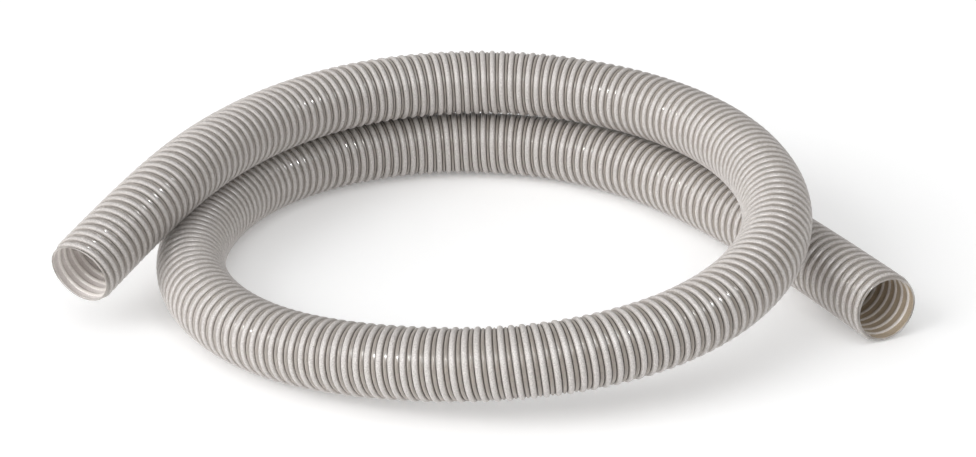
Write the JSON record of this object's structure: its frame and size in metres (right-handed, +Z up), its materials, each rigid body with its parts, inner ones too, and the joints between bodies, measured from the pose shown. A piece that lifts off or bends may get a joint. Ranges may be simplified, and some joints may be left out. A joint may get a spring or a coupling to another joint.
{
  "type": "sewer hose",
  "caption": "Flexible ribbed drain hose with bare cut ends, lying in an open loop with its upper strand on its lower one.",
  "frame": {"origin": "on the floor, under the middle of the hose's bounding box", "axes": "+X from the raised end's side to the floor end's side, along the longest extent; +Y away from both ends; +Z up"},
  "size_m": [1.0401, 0.8179, 0.172],
  "materials": {
    "hose_wall": "translucent, semi-gloss",
    "helix_rib": "satin, off-white"
  },
  "bodies": {
    "root": {"hose_wall": "hose_wall", "helix_rib": "helix_rib"}
  },
  "joints": []
}
